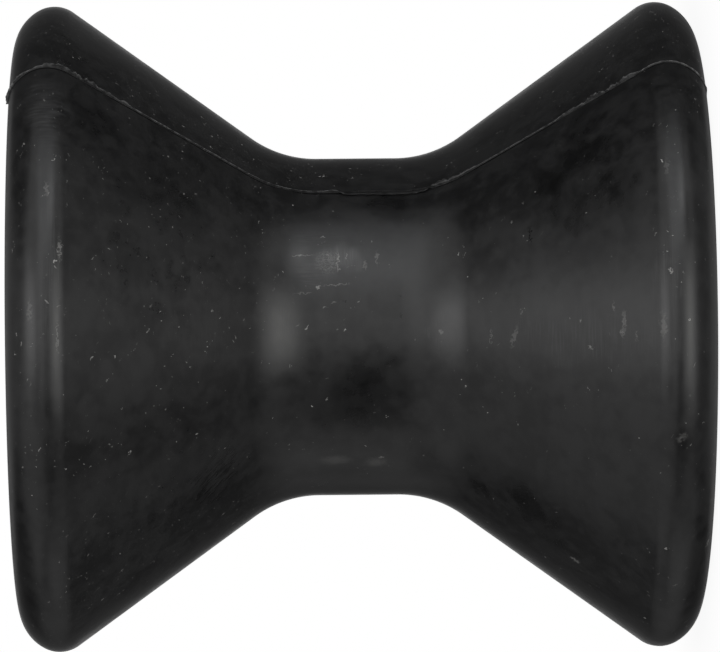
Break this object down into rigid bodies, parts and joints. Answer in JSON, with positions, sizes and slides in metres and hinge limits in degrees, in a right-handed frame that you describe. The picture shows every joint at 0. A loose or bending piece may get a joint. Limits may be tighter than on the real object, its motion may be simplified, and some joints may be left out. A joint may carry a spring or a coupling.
{
  "type": "boat trailer bow roller",
  "caption": "Solid black rubber V roller for the bow of a boat on its trailer, with rounded rims, a deep V groove and a plain through bore for a shaft.",
  "frame": {"origin": "on the bore's axis, half way between the two flat ends", "axes": "+Z along the bore's axis, so the roller stands on its flat end; the mould's parting plane is XZ, with its line of flash on the +X and -X sides"},
  "size_m": [0.0974, 0.0968, 0.1016],
  "materials": {
    "rubber": "satin moulded rubber with pale dust and fine scuffs"
  },
  "bodies": {
    "root": {"roller": "rubber"}
  },
  "joints": []
}
